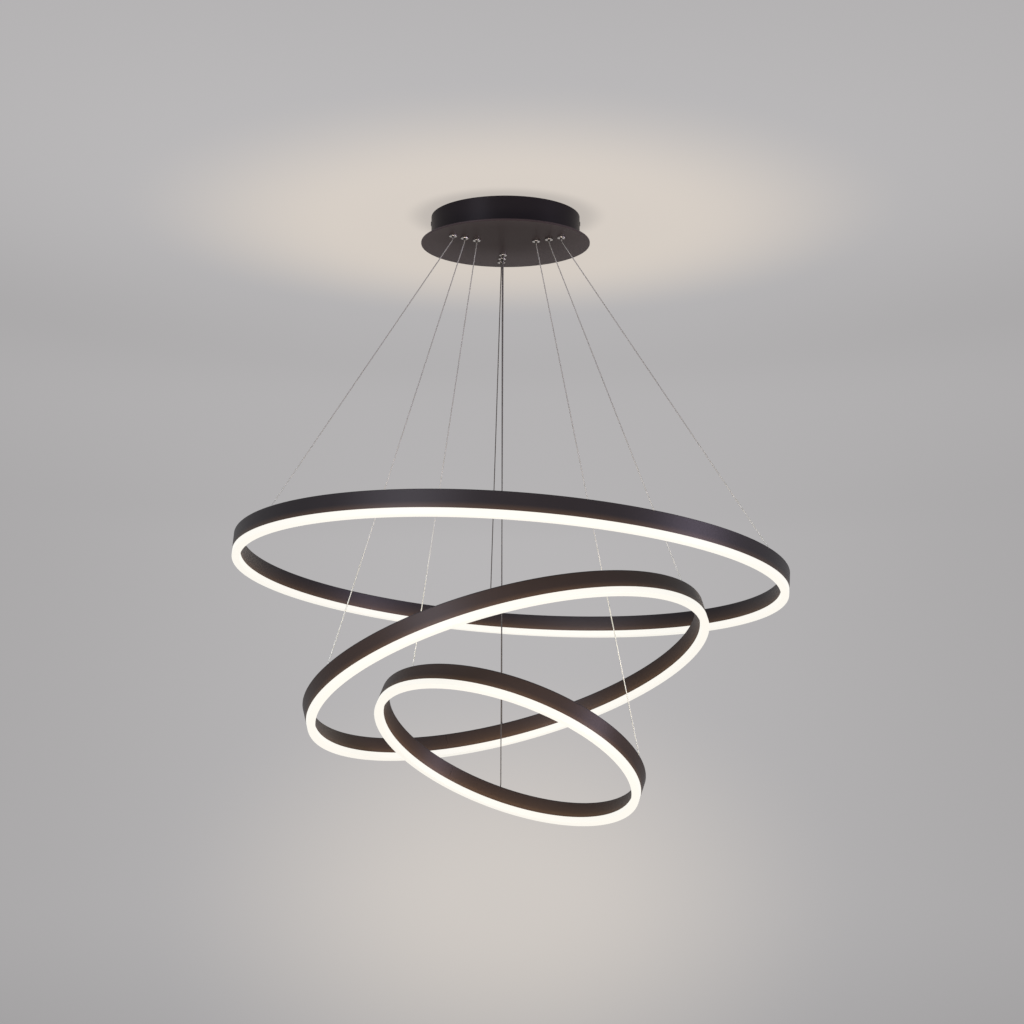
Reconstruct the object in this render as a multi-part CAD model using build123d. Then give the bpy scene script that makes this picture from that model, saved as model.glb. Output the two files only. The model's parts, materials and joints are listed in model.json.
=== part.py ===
from build123d import *
from math import cos, degrees, pi, radians, sin, tan
import os

os.makedirs("parts", exist_ok=True)

# Three lit rings hang by wires under a round canopy. Millimetres, +Z up.
# z = 0 is the ceiling, and the Z axis is the canopy's axis. The back is +Y.

# Canopy: an open drum, closed below by a slightly wider plate
DRUM_RADIUS = 110.0
DRUM_WALL = 1.2
DRUM_HEIGHT = 38.0
FLANGE_WIDTH = 14.0
FLANGE_NOTCH_RADIUS = 8.0
PLATE_RADIUS = 125.0
PLATE_THICKNESS = 3.0
PLATE_EDGE = 0.8
STUD_CIRCLE = 103.0
STUD_AZIMUTHS = tuple(3.0 + 60.0 * k for k in range(6))
STUD_RADIUS = 2.0
STUD_HEIGHT = 7.0
STUD_NUT_FLATS = 7.0
STUD_NUT_HEIGHT = 4.0
STUD_NUT_FLANGE_RADIUS = 4.6
STUD_NUT_FLANGE = 0.8
GRIPPER_HOLE_CLEARANCE = 0.2

# Ceiling bracket: a bar with its ends turned down, held to the drum by side screws
BRACKET_LENGTH = 214.0
BRACKET_WIDTH = 32.0
BRACKET_THICKNESS = 2.0
BRACKET_TAB = 16.0
SLOT_SPACING = 90.0
SLOT_LENGTH = 30.0
SLOT_WIDTH = 5.5
MAINS_HOLE_RADIUS = 8.0
SIDE_SCREW_Z = -9.0
SIDE_SCREW_LENGTH = 10.0
SIDE_HEAD_RADIUS = 3.4
SIDE_HEAD_HEIGHT = 0.8
SIDE_HEAD_EDGE = 0.4
SCREW_RADIUS = 1.95
SCREW_HOLE_RADIUS = 2.0
CLEARANCE_HOLE_RADIUS = 2.2
KEY_FLATS = 2.5
KEY_DEPTH = 1.2

# Drivers, terminal block and earth terminal on the plate's inner side
DRIVER_LENGTH = 88.0
DRIVER_WIDTH = 34.0
DRIVER_HEIGHT = 20.0
DRIVER_EDGE = 1.5
DRIVER_EAR = 10.0
EAR_WIDTH = 20.0
EAR_THICKNESS = 2.0
EAR_CORNER = 3.0
LID_LINE_HEIGHT = 15.0
LID_LINE_WIDTH = 0.6
LID_LINE_DEPTH = 0.5
DRIVER_CIRCLE = 59.0
DRIVER_AZIMUTHS = (33.0, 153.0, 273.0)
BLOCK_LENGTH = 34.0
BLOCK_WIDTH = 20.0
BLOCK_HEIGHT = 14.0
BLOCK_PITCH = 10.0
BLOCK_EDGE = 1.0
WELL_RADIUS = 2.4
WELL_FLOOR = 7.0
WIRE_HOLE_RADIUS = 1.8
WIRE_HOLE_HEIGHT = 5.0
TERMINAL_SCREW_RADIUS = 2.2
TERMINAL_SCREW_HEIGHT = 4.0
TERMINAL_SLOT_WIDTH = 0.8
TERMINAL_SLOT_DEPTH = 1.0
EARTH_PLACE = (0.0, 27.0)
EARTH_STUD_HEIGHT = 12.0
EARTH_WASHER_RADIUS = 4.5
EARTH_WASHER = 1.0
EARTH_NUT_HEIGHT = 3.2
MAINS_LEAD_DIAMETER = 5.0
MAINS_LEAD_LAY = 5.0
DRIVER_ENTRY_HEIGHT = 11.0
LEAD_RISE = 9.0
LEAD_CREST = 13.0
LEAD_CREST_SHARES = (0.4, 0.3)

# Wire grippers: three rows of three, the outermost ones for the largest ring
SIDES = ("left", "right", "back")
GRIPPER_AZIMUTHS = (214.0, 332.0, 94.0)
GRIPPER_CIRCLES = (92.0, 72.0, 51.0)
HEAD_RADIUS = 5.8
HEAD_HEIGHT = 2.4
HEAD_EDGE = 0.8
SHANK_RADIUS = 4.0
SHANK_HEIGHT = 11.0
CHAMBER_RADIUS = 3.2
CHAMBER_HEIGHT = 9.0
LIP_RADIUS = 2.2
LIP_HEIGHT = 1.0
GRIPPER_NUT_FLATS = 12.0
GRIPPER_NUT_HEIGHT = 4.0
THREAD_CLEARANCE = 0.05
PLUNGER_NECK_RADIUS = 1.9
PLUNGER_HEAD_RADIUS = 2.9
PLUNGER_HEAD_HEIGHT = 2.0
PLUNGER_REACH = 2.5
PLUNGER_EDGE = 0.4
PLUNGER_GAP = 0.1
SPRING_RADIUS = 2.3
SPRING_WIRE = 0.5
SPRING_TURNS = 5.0
SPRING_GAP = 0.05

# Suspension
WIRE_DIAMETER = 1.5
LEAD_DIAMETER = 1.6
WIRE_BORE_RADIUS = 0.9
LEAD_BORE_RADIUS = 1.0
WIRE_TAIL = 6.0
BEND_STANDOFF = 1.5
MOUTH_BEND_DIAMETERS = 5
ANCHOR_BEND_DIAMETERS = 3

# Rings: one section, three diameters, each hung at its own height and tilt
RING_DIAMETERS = (800.0, 594.0, 400.0)
RING_SHIFT_X = (6.0, 8.0, -1.0)
RING_BOTTOM_Z = (-547.0, -689.0, -796.0)
RING_TILTS = (8.1, 22.4, 30.7)
RING_TILT_AZIMUTHS = (59.5, 131.0, 51.0)
ANCHOR_AZIMUTHS = ((215.5, 332.0, 95.0), (212.0, 331.0, 91.0), (220.5, 354.0, 95.5))
JOINT_AZIMUTHS = (110.0, 110.0, 120.0)

# Ring section, measured up from the diffuser's bottom
SECTION_WIDTH = 12.0
DIFFUSER_DROP = 9.5
CHANNEL_HEIGHT = 24.0
CHANNEL_WALL = 1.2
CHANNEL_EDGE = 0.8
WEB_BOTTOM = 20.5
DIFFUSER_WIDTH = 11.6
DIFFUSER_EDGE = 1.5
DIFFUSER_FLOOR = 2.0
DIFFUSER_CAVITY = 7.4
DIFFUSER_LEG = 5.5
LEG_CLEARANCE = 0.1
STRIP_WIDTH = 8.0
STRIP_THICKNESS = 1.0
LED_LENGTH = 3.5
LED_WIDTH = 2.8
LED_HEIGHT = 0.8
LED_PITCH = 20.0
JOINT_GAP = 0.3
JOINT_PLATE_LENGTH = 60.0
JOINT_PLATE_HEIGHT = 6.0
JOINT_PLATE_WIDTH = 9.0
JOINT_SCREW_OFFSETS = (-22.0, -9.0, 9.0, 22.0)
JOINT_SCREW_LENGTH = 6.5
JOINT_SCREW_SUNK = 0.2
JOINT_KEY_DEPTH = 2.0

# Wire anchors on the rings
ANCHOR_RADIUS = 2.9
ANCHOR_HEIGHT = 0.8
ANCHOR_EDGE = 0.4
ANCHOR_SHANK_RADIUS = 2.1
ANCHOR_SHANK = 4.0
ANCHOR_HOLE_CLEARANCE = 0.1
ANCHOR_NUT_WIDTH = 9.0
ANCHOR_NUT_HEIGHT = 3.0
WIRE_END_LENGTH = 5.0
WIRE_END_WALL = 0.8
WIRE_END_DEPTH = 3.5
WIRE_END_GAP = 0.7
LEAD_HOLE_RADIUS = 1.2

PLATE_TOP = -DRUM_HEIGHT
PLATE_BOTTOM = PLATE_TOP - PLATE_THICKNESS
SHANK_TOP = PLATE_BOTTOM + SHANK_HEIGHT
HEAD_BOTTOM = PLATE_BOTTOM - HEAD_HEIGHT
CHAMBER_BOTTOM = HEAD_BOTTOM + LIP_HEIGHT
CHAMBER_TOP = HEAD_BOTTOM + CHAMBER_HEIGHT
PLUNGER_BOTTOM = HEAD_BOTTOM - PLUNGER_REACH
PLUNGER_SHOULDER = CHAMBER_BOTTOM + PLUNGER_GAP
PLUNGER_TOP = PLUNGER_SHOULDER + PLUNGER_HEAD_HEIGHT
TAIL_TOP = SHANK_TOP + WIRE_TAIL
CHANNEL_TOP = DIFFUSER_DROP + CHANNEL_HEIGHT
WEB_TOP = WEB_BOTTOM + CHANNEL_WALL
CHAMBER_ROOF = CHANNEL_TOP - CHANNEL_WALL
INNER_WIDTH = SECTION_WIDTH - 2 * CHANNEL_WALL
ANCHOR_TOP = CHANNEL_TOP + ANCHOR_HEIGHT
ANCHOR_BOTTOM = CHANNEL_TOP - ANCHOR_SHANK


def rod(radius, low, high):
    """Upright cylinder on the Z axis between two heights."""
    return Pos(0, 0, low) * Cylinder(radius, high - low, align=(Align.CENTER, Align.CENTER, Align.MIN))


def block(length, width, low, high):
    """Upright box centred on the Z axis between two heights."""
    return Pos(0, 0, low) * Box(length, width, high - low, align=(Align.CENTER, Align.CENTER, Align.MIN))


def hexagon(flats, low, high):
    """Upright hexagonal prism between two heights."""
    return Pos(0, 0, low) * extrude(RegularPolygon(flats / 2, 6, major_radius=False), high - low)


def polar(radius, azimuth):
    """Place at a radius and azimuth about the Z axis, turned to face outwards."""
    return Rot(0, 0, azimuth) * Pos(radius, 0, 0)


def bent_tube(points, diameter, radii=None):
    """Round tube along straight runs joined by tangent arcs, as large as the runs allow."""
    points = [Vector(*p) for p in points]
    if radii is None:
        radii = []
        for before, corner, after in zip(points, points[1:], points[2:]):
            turn = radians((corner - before).get_angle(after - corner))
            run = min((corner - before).length, (after - corner).length)
            radii.append(0.45 * run / tan(turn / 2))
    path = FilletPolyline(*points, radius=radii)
    profile = Plane(origin=path @ 0, z_dir=path % 0) * Circle(diameter / 2)
    return sweep(profile, path=path), path.length, min(radii)


def save(shape, node):
    """Write one node's solids, one or several, to its own file."""
    solids = shape if isinstance(shape, list) else [shape]
    solids = [s for part in solids for s in part.solids()]
    export_step(solids[0] if len(solids) == 1 else Compound(children=solids), f"parts/{node}.step")


# Canopy

def canopy_drum():
    """Open drum with an inner flange at its foot, notched round the outermost grippers."""
    drum = rod(DRUM_RADIUS, PLATE_TOP, 0) - rod(DRUM_RADIUS - DRUM_WALL, PLATE_TOP + DRUM_WALL, 0)
    drum -= rod(DRUM_RADIUS - FLANGE_WIDTH, PLATE_TOP, 0)
    notch = rod(FLANGE_NOTCH_RADIUS, PLATE_TOP, PLATE_TOP + DRUM_WALL)
    for azimuth in GRIPPER_AZIMUTHS:
        drum -= polar(GRIPPER_CIRCLES[0], azimuth) * notch
    for azimuth in STUD_AZIMUTHS:
        drum -= polar(STUD_CIRCLE, azimuth) * rod(CLEARANCE_HOLE_RADIUS, PLATE_TOP, PLATE_TOP + DRUM_WALL)
    side_holes = rod(CLEARANCE_HOLE_RADIUS, -DRUM_RADIUS, DRUM_RADIUS)
    return drum - Pos(0, 0, SIDE_SCREW_Z) * Rot(0, 90, 0) * side_holes


def canopy_plate():
    """Round plate with nine gripper holes and welded studs for the drum and the drivers."""
    plate = rod(PLATE_RADIUS, PLATE_BOTTOM, PLATE_TOP)
    plate = fillet(plate.edges(), PLATE_EDGE)
    for azimuth in GRIPPER_AZIMUTHS:
        for circle in GRIPPER_CIRCLES:
            hole = rod(SHANK_RADIUS + GRIPPER_HOLE_CLEARANCE, PLATE_BOTTOM, PLATE_TOP)
            plate -= polar(circle, azimuth) * hole
    for place in stud_places():
        plate += place * rod(STUD_RADIUS, PLATE_TOP - PLATE_THICKNESS / 2, PLATE_TOP + STUD_HEIGHT)
    return plate


def stud_places():
    """Places of the drum's studs, then of the two studs of each driver."""
    places = [polar(STUD_CIRCLE, azimuth) for azimuth in STUD_AZIMUTHS]
    for azimuth in DRIVER_AZIMUTHS:
        for side in (-1, 1):
            places.append(polar(DRIVER_CIRCLE, azimuth) * Pos(0, side * (DRIVER_LENGTH + DRIVER_EAR) / 2, 0))
    return places


def stud_nut(seat):
    """Flanged nut on a stud, seated at a height."""
    nut = rod(STUD_NUT_FLANGE_RADIUS, seat, seat + STUD_NUT_FLANGE)
    nut += hexagon(STUD_NUT_FLATS, seat + STUD_NUT_FLANGE, seat + STUD_NUT_HEIGHT)
    return nut - rod(STUD_RADIUS, seat, seat + STUD_NUT_HEIGHT)


def ceiling_bracket():
    """Pressed bar with its two ends turned down, slotted for ceiling screws."""
    low = -BRACKET_TAB
    bracket = block(BRACKET_LENGTH, BRACKET_WIDTH, low, 0)
    bracket -= block(BRACKET_LENGTH - 2 * BRACKET_THICKNESS, BRACKET_WIDTH, low, -BRACKET_THICKNESS)
    bends = bracket.edges().filter_by(Axis.Y).group_by(Axis.Z)[-1]
    bracket = fillet(bends, BRACKET_THICKNESS / 2)
    for side in (-1, 1):
        slot = extrude(SlotOverall(SLOT_LENGTH, SLOT_WIDTH), BRACKET_THICKNESS)
        bracket -= Pos(side * SLOT_SPACING / 2, 0, -BRACKET_THICKNESS) * slot
    bracket -= rod(MAINS_HOLE_RADIUS, -BRACKET_THICKNESS, 0)
    bracket -= Pos(0, 0, SIDE_SCREW_Z) * Rot(0, 90, 0) * rod(SCREW_HOLE_RADIUS, -DRUM_RADIUS, DRUM_RADIUS)
    return bracket


def side_screw():
    """Thin-headed screw along X through the drum's side into the bracket's tab."""
    outside = DRUM_RADIUS + SIDE_HEAD_HEIGHT
    head = rod(SIDE_HEAD_RADIUS, DRUM_RADIUS, outside)
    head = fillet(head.edges().sort_by(Axis.Z)[-1], SIDE_HEAD_EDGE)
    head -= hexagon(KEY_FLATS, outside - KEY_DEPTH, outside)
    shank = rod(SCREW_RADIUS, DRUM_RADIUS - SIDE_SCREW_LENGTH, DRUM_RADIUS)
    return Pos(0, 0, SIDE_SCREW_Z) * Rot(0, 90, 0) * (head + shank)


def driver():
    """LED driver case with two slotted fixing ears, lying along Y."""
    case = block(DRIVER_WIDTH, DRIVER_LENGTH, PLATE_TOP, PLATE_TOP + DRIVER_HEIGHT)
    case = fillet(case.edges().filter_by(Axis.Z) + case.edges().group_by(Axis.Z)[-1], DRIVER_EDGE)
    ears = block(EAR_WIDTH, DRIVER_LENGTH + 2 * DRIVER_EAR, PLATE_TOP, PLATE_TOP + EAR_THICKNESS)
    case += fillet(ears.edges().filter_by(Axis.Z), EAR_CORNER)
    low = PLATE_TOP + LID_LINE_HEIGHT
    high = low + LID_LINE_WIDTH
    inside = block(DRIVER_WIDTH - 2 * LID_LINE_DEPTH, DRIVER_LENGTH - 2 * LID_LINE_DEPTH, low, high)
    case -= block(DRIVER_WIDTH, DRIVER_LENGTH, low, high) - inside
    for side in (-1, 1):
        place = Pos(0, side * (DRIVER_LENGTH + DRIVER_EAR) / 2, 0)
        case -= place * rod(CLEARANCE_HOLE_RADIUS, PLATE_TOP, PLATE_TOP + EAR_THICKNESS)
    return case


def terminal_block():
    """Three-pole block with a screw well over each pole and wire holes along Y."""
    body = block(BLOCK_LENGTH, BLOCK_WIDTH, PLATE_TOP, PLATE_TOP + BLOCK_HEIGHT)
    body = fillet(body.edges().filter_by(Axis.Z) + body.edges().group_by(Axis.Z)[-1], BLOCK_EDGE)
    well = rod(WELL_RADIUS, PLATE_TOP + WELL_FLOOR, PLATE_TOP + BLOCK_HEIGHT)
    wire_hole = Rot(90, 0, 0) * rod(WIRE_HOLE_RADIUS, -BLOCK_WIDTH / 2, BLOCK_WIDTH / 2)
    for pole in (-1, 0, 1):
        body -= Pos(pole * BLOCK_PITCH, 0, 0) * well
        body -= Pos(pole * BLOCK_PITCH, 0, PLATE_TOP + WIRE_HOLE_HEIGHT) * wire_hole
    return body


def terminal_screw():
    """Slotted screw in a pole's well."""
    low = PLATE_TOP + WELL_FLOOR
    high = low + TERMINAL_SCREW_HEIGHT
    slot = block(2 * TERMINAL_SCREW_RADIUS, TERMINAL_SLOT_WIDTH, high - TERMINAL_SLOT_DEPTH, high)
    return rod(TERMINAL_SCREW_RADIUS, low, high) - slot


def earth_terminal():
    """Earth stud with a washer and a nut, standing on the plate."""
    seat = PLATE_TOP + EARTH_WASHER
    stud = rod(STUD_RADIUS, PLATE_TOP, PLATE_TOP + EARTH_STUD_HEIGHT)
    washer = rod(EARTH_WASHER_RADIUS, PLATE_TOP, seat) - stud
    nut = hexagon(STUD_NUT_FLATS, seat, seat + EARTH_NUT_HEIGHT) - stud
    return [Pos(*EARTH_PLACE, 0) * piece for piece in (stud, washer, nut)]


# Wire grippers

def gripper_barrel(bore):
    """Turned barrel: head under the plate, shank through it, spring chamber inside."""
    head = rod(HEAD_RADIUS, HEAD_BOTTOM, PLATE_BOTTOM)
    head = fillet(head.edges().sort_by(Axis.Z)[0], HEAD_EDGE)
    barrel = head + rod(SHANK_RADIUS, PLATE_BOTTOM, SHANK_TOP)
    barrel -= rod(LIP_RADIUS, HEAD_BOTTOM, CHAMBER_BOTTOM)
    barrel -= rod(CHAMBER_RADIUS, CHAMBER_BOTTOM, CHAMBER_TOP)
    return barrel - rod(bore, CHAMBER_TOP, SHANK_TOP)


def gripper_nut():
    """Nut that clamps the barrel to the plate's inner side."""
    high = PLATE_TOP + GRIPPER_NUT_HEIGHT
    nut = hexagon(GRIPPER_NUT_FLATS, PLATE_TOP, high)
    return nut - rod(SHANK_RADIUS + THREAD_CLEARANCE, PLATE_TOP, high)


def gripper_plunger(bore):
    """Release plunger: a neck out of the barrel's mouth, a head that rests on its lip."""
    plunger = rod(PLUNGER_NECK_RADIUS, PLUNGER_BOTTOM, PLUNGER_SHOULDER)
    plunger = fillet(plunger.edges().sort_by(Axis.Z)[0], PLUNGER_EDGE)
    plunger += rod(PLUNGER_HEAD_RADIUS, PLUNGER_SHOULDER, PLUNGER_TOP)
    return plunger - rod(bore, PLUNGER_BOTTOM, PLUNGER_TOP)


def gripper_spring():
    """Return spring above the plunger's head, an open helix."""
    low = PLUNGER_TOP + SPRING_WIRE / 2 + SPRING_GAP
    height = CHAMBER_TOP - SPRING_WIRE / 2 - SPRING_GAP - low
    helix = Helix(pitch=height / SPRING_TURNS, height=height, radius=SPRING_RADIUS)
    profile = Plane(origin=helix @ 0, z_dir=helix % 0) * Circle(SPRING_WIRE / 2)
    return Pos(0, 0, low) * sweep(profile, path=helix, is_frenet=True)


# Rings, built level about the Z axis and then hung

def ring_plane(number):
    """The ring's own plane: its centre at the diffuser's bottom, and its tilt."""
    tilt = radians(RING_TILTS[number])
    azimuth = radians(RING_TILT_AZIMUTHS[number])
    normal = Vector(sin(tilt) * cos(azimuth), sin(tilt) * sin(azimuth), cos(tilt))
    along = Vector(1, 0, 0) - normal * normal.X
    return Plane(origin=(RING_SHIFT_X[number], 0, RING_BOTTOM_Z[number]), x_dir=along, z_dir=normal)


def wall_circle(number):
    """Radius of the middle of the ring's section."""
    return RING_DIAMETERS[number] / 2 - SECTION_WIDTH / 2


def section_box(number, width, low, high):
    """Rectangle of the ring's section, centred on the middle of its width."""
    return Pos(wall_circle(number), (low + high) / 2) * Rectangle(width, high - low)


def channel(number):
    """Rolled channel with a middle web, butted at one joint and drilled for its fittings."""
    outer = section_box(number, SECTION_WIDTH, DIFFUSER_DROP, CHANNEL_TOP)
    outer = fillet(outer.vertices().group_by(Axis.Y)[-1], CHANNEL_EDGE)
    section = outer - section_box(number, INNER_WIDTH, WEB_TOP, CHAMBER_ROOF)
    section -= section_box(number, INNER_WIDTH, DIFFUSER_DROP, WEB_BOTTOM)
    gap = degrees(JOINT_GAP / wall_circle(number))
    ring = revolve(Plane.XZ * section, Axis.Z, 360 - gap)
    ring = Rot(0, 0, JOINT_AZIMUTHS[number] + gap / 2) * ring
    for azimuth in ANCHOR_AZIMUTHS[number]:
        hole = rod(ANCHOR_SHANK_RADIUS + ANCHOR_HOLE_CLEARANCE, CHAMBER_ROOF, CHANNEL_TOP)
        ring -= polar(wall_circle(number), azimuth) * hole
    for azimuth in joint_screw_azimuths(number):
        ring -= polar(wall_circle(number), azimuth) * rod(CLEARANCE_HOLE_RADIUS, CHAMBER_ROOF, CHANNEL_TOP)
    lead_hole = rod(LEAD_HOLE_RADIUS, WEB_BOTTOM, WEB_TOP)
    return ring - polar(wall_circle(number), ANCHOR_AZIMUTHS[number][2]) * lead_hole


def diffuser(number):
    """Opal trough under the channel, with two legs up inside its walls."""
    trough = section_box(number, DIFFUSER_WIDTH, 0, DIFFUSER_DROP)
    trough = fillet(trough.vertices().group_by(Axis.Y)[0], DIFFUSER_EDGE)
    legs = section_box(number, INNER_WIDTH - 2 * LEG_CLEARANCE, DIFFUSER_DROP, DIFFUSER_DROP + DIFFUSER_LEG)
    cavity = section_box(number, DIFFUSER_CAVITY, DIFFUSER_FLOOR, DIFFUSER_DROP + DIFFUSER_LEG)
    return revolve(Plane.XZ * (trough + legs - cavity), Axis.Z, 360)


def led_strip(number):
    """Strip under the middle web, with its row of LEDs facing down."""
    low = WEB_BOTTOM - STRIP_THICKNESS
    strip = revolve(Plane.XZ * section_box(number, STRIP_WIDTH, low, WEB_BOTTOM), Axis.Z, 360)
    count = round(2 * pi * wall_circle(number) / LED_PITCH)
    led = block(LED_WIDTH, LED_LENGTH, low - LED_HEIGHT, low)
    return strip + [polar(wall_circle(number), 360 * k / count) * led for k in range(count)]


def joint_screw_azimuths(number):
    """Azimuths of the four screws across the channel's joint."""
    return [JOINT_AZIMUTHS[number] + degrees(s / wall_circle(number)) for s in JOINT_SCREW_OFFSETS]


def joint_plate(number):
    """Curved plate inside the upper chamber, bridging the channel's joint."""
    section = section_box(number, JOINT_PLATE_WIDTH, CHAMBER_ROOF - JOINT_PLATE_HEIGHT, CHAMBER_ROOF)
    arc = degrees(JOINT_PLATE_LENGTH / wall_circle(number))
    plate = Rot(0, 0, JOINT_AZIMUTHS[number] - arc / 2) * revolve(Plane.XZ * section, Axis.Z, arc)
    for azimuth in joint_screw_azimuths(number):
        hole = rod(SCREW_HOLE_RADIUS, CHAMBER_ROOF - JOINT_PLATE_HEIGHT, CHAMBER_ROOF)
        plate -= polar(wall_circle(number), azimuth) * hole
    return plate


def joint_screws(number):
    """Four set screws in the joint plate, sunk just under the channel's top."""
    high = CHANNEL_TOP - JOINT_SCREW_SUNK
    screw = rod(SCREW_RADIUS, high - JOINT_SCREW_LENGTH, high)
    screw -= hexagon(KEY_FLATS, high - JOINT_KEY_DEPTH, high)
    return [polar(wall_circle(number), azimuth) * screw for azimuth in joint_screw_azimuths(number)]


def bore_of(side):
    """Bore radius for the wire or lead on one side."""
    return LEAD_BORE_RADIUS if side == "back" else WIRE_BORE_RADIUS


def anchor_pieces(number, make):
    """One piece at each of the ring's three anchors, made for its wire or lead."""
    places = [polar(wall_circle(number), azimuth) for azimuth in ANCHOR_AZIMUTHS[number]]
    return [place * make(bore_of(side)) for place, side in zip(places, SIDES)]


def wire_anchor(bore):
    """Small low collar on the channel's top, with a bored shank through it."""
    collar = rod(ANCHOR_RADIUS, CHANNEL_TOP, ANCHOR_TOP)
    collar = fillet(collar.edges().sort_by(Axis.Z)[-1], ANCHOR_EDGE)
    anchor = collar + rod(ANCHOR_SHANK_RADIUS, ANCHOR_BOTTOM, CHANNEL_TOP)
    return anchor - rod(bore, ANCHOR_BOTTOM, ANCHOR_TOP)


def anchor_nut(bore):
    """Square nut under the channel's top, which can't turn between the walls."""
    low = CHAMBER_ROOF - ANCHOR_NUT_HEIGHT
    nut = block(ANCHOR_NUT_WIDTH, ANCHOR_NUT_WIDTH, low, CHAMBER_ROOF)
    return nut - rod(ANCHOR_SHANK_RADIUS + THREAD_CLEARANCE, low, CHAMBER_ROOF)


def wire_end(bore):
    """Crimped cup that stops the wire under the anchor's shank."""
    cup = rod(bore + WIRE_END_WALL, ANCHOR_BOTTOM - WIRE_END_LENGTH, ANCHOR_BOTTOM)
    return cup - rod(bore, ANCHOR_BOTTOM - WIRE_END_DEPTH, ANCHOR_BOTTOM)


def suspension(number, index):
    """Wire or lead: up through the gripper, straight to the ring's anchor, down into its cup."""
    side = SIDES[index]
    diameter = LEAD_DIAMETER if side == "back" else WIRE_DIAMETER
    azimuth = radians(GRIPPER_AZIMUTHS[index])
    x = GRIPPER_CIRCLES[number] * cos(azimuth)
    y = GRIPPER_CIRCLES[number] * sin(azimuth)
    plane = ring_plane(number)
    around = radians(ANCHOR_AZIMUTHS[number][index])
    local_x = wall_circle(number) * cos(around)
    local_y = wall_circle(number) * sin(around)
    mouth = plane.from_local_coords((local_x, local_y, ANCHOR_TOP + BEND_STANDOFF))
    end = plane.from_local_coords((local_x, local_y, ANCHOR_BOTTOM - WIRE_END_DEPTH + WIRE_END_GAP))
    points = [(x, y, TAIL_TOP), (x, y, PLUNGER_BOTTOM - BEND_STANDOFF), tuple(mouth), tuple(end)]
    radii = [MOUTH_BEND_DIAMETERS * diameter, ANCHOR_BEND_DIAMETERS * diameter]
    return bent_tube(points, diameter, radii)


def mains_leads():
    """Leads from the terminal block's poles, along the plate, to the input end of each driver."""
    low = PLATE_TOP + MAINS_LEAD_LAY
    into = PLATE_TOP + DRIVER_ENTRY_HEIGHT
    to_ring1 = [(10, -10, low), (12, -17, low), (25, -17, low + 2), (40, -11, low + 3), (54, -15, low + 4),
                (66, -20, low + 4), (76, -21, low + 5), (82, -15.5, into), (73.5, -4.8, into)]
    to_ring2 = [(-10, -10, low), (-11, -17, low), (-22, -19, low + 2), (-35, -14, low + 3),
                (-49, -18, low + 4), (-60, -27, low + 5), (-71, -30, into), (-79, -24, into),
                (-72.6, -12.4, into)]
    to_ring3 = [(0, -10, low), (0, -18, low), (8, -27, low + 2), (22, -31, low + 3), (38, -33, low + 4),
                (54, -38, low + 5), (62, -46, into), (61, -55.5, into), (47, -56.6, into)]
    return [bent_tube(route, MAINS_LEAD_DIAMETER)[0] for route in (to_ring1, to_ring2, to_ring3)]


def output_leads():
    """The power leads' last stretch inside, from above their grippers to the drivers."""
    into = PLATE_TOP + DRIVER_ENTRY_HEIGHT
    share_x, share_y = LEAD_CREST_SHARES
    from_ring1 = [(14, 89, -16), (19, 82, -24), (25.5, 69, into)]
    from_ring2 = [(-18, 79, -15), (-26, 79, -23), (-32.6, 66, into)]
    from_ring3 = [(-21, 20, -10), (-33, -5, -10), (-42, -30, -11), (-52, -48, -15), (-58, -59, -22),
                  (-54, -63, into), (-40.8, -61.2, into)]
    leads = []
    for circle, route in zip(GRIPPER_CIRCLES, (from_ring1, from_ring2, from_ring3)):
        x, y, _ = polar(circle, GRIPPER_AZIMUTHS[2]).position
        rise = [(x, y, TAIL_TOP), (x, y, TAIL_TOP + LEAD_RISE)]
        crest_x = x + share_x * (route[0][0] - x)
        crest_y = y + share_y * (route[0][1] - y)
        crest = (crest_x, crest_y, TAIL_TOP + LEAD_CREST)
        leads.append(bent_tube(rise + [crest] + route, LEAD_DIAMETER)[0])
    return leads


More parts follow.
